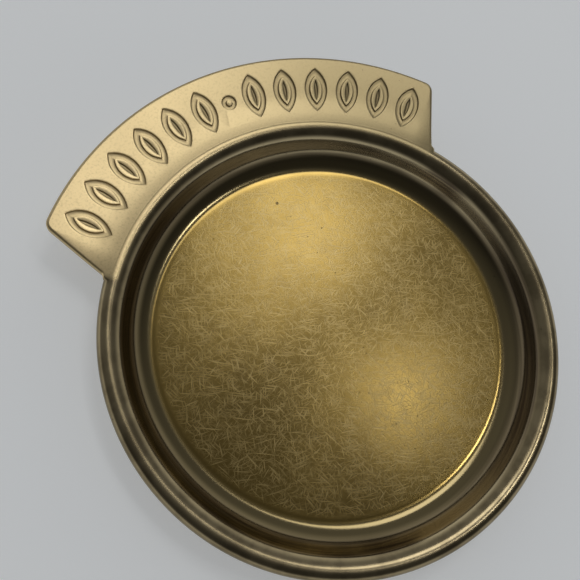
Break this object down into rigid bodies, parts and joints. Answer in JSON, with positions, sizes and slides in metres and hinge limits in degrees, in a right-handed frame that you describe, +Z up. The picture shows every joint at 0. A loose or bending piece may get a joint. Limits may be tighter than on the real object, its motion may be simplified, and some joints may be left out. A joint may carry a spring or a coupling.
{
  "type": "coin tray",
  "caption": "Round shallow brass tray for loose coins, with a flat floor, coved wall, crowned lip, a fan-shaped raised tab with a sunk leaf border, and a felt base.",
  "frame": {"origin": "centre of the felt disc's lower face, on the bowl's axis, where the tray rests", "axes": "+Z up along the bowl's axis, +Y from the axis towards the middle of the tab, +X to the right when the tab is at the back"},
  "size_m": [0.13, 0.1483, 0.0159],
  "materials": {
    "brass": "aged, satin lip and tab, finely scratched floor, darker lathe-turned wall",
    "felt": "short-napped pressed wool felt"
  },
  "bodies": {
    "root": {"dish": "brass", "felt_pad": "felt"}
  },
  "joints": []
}
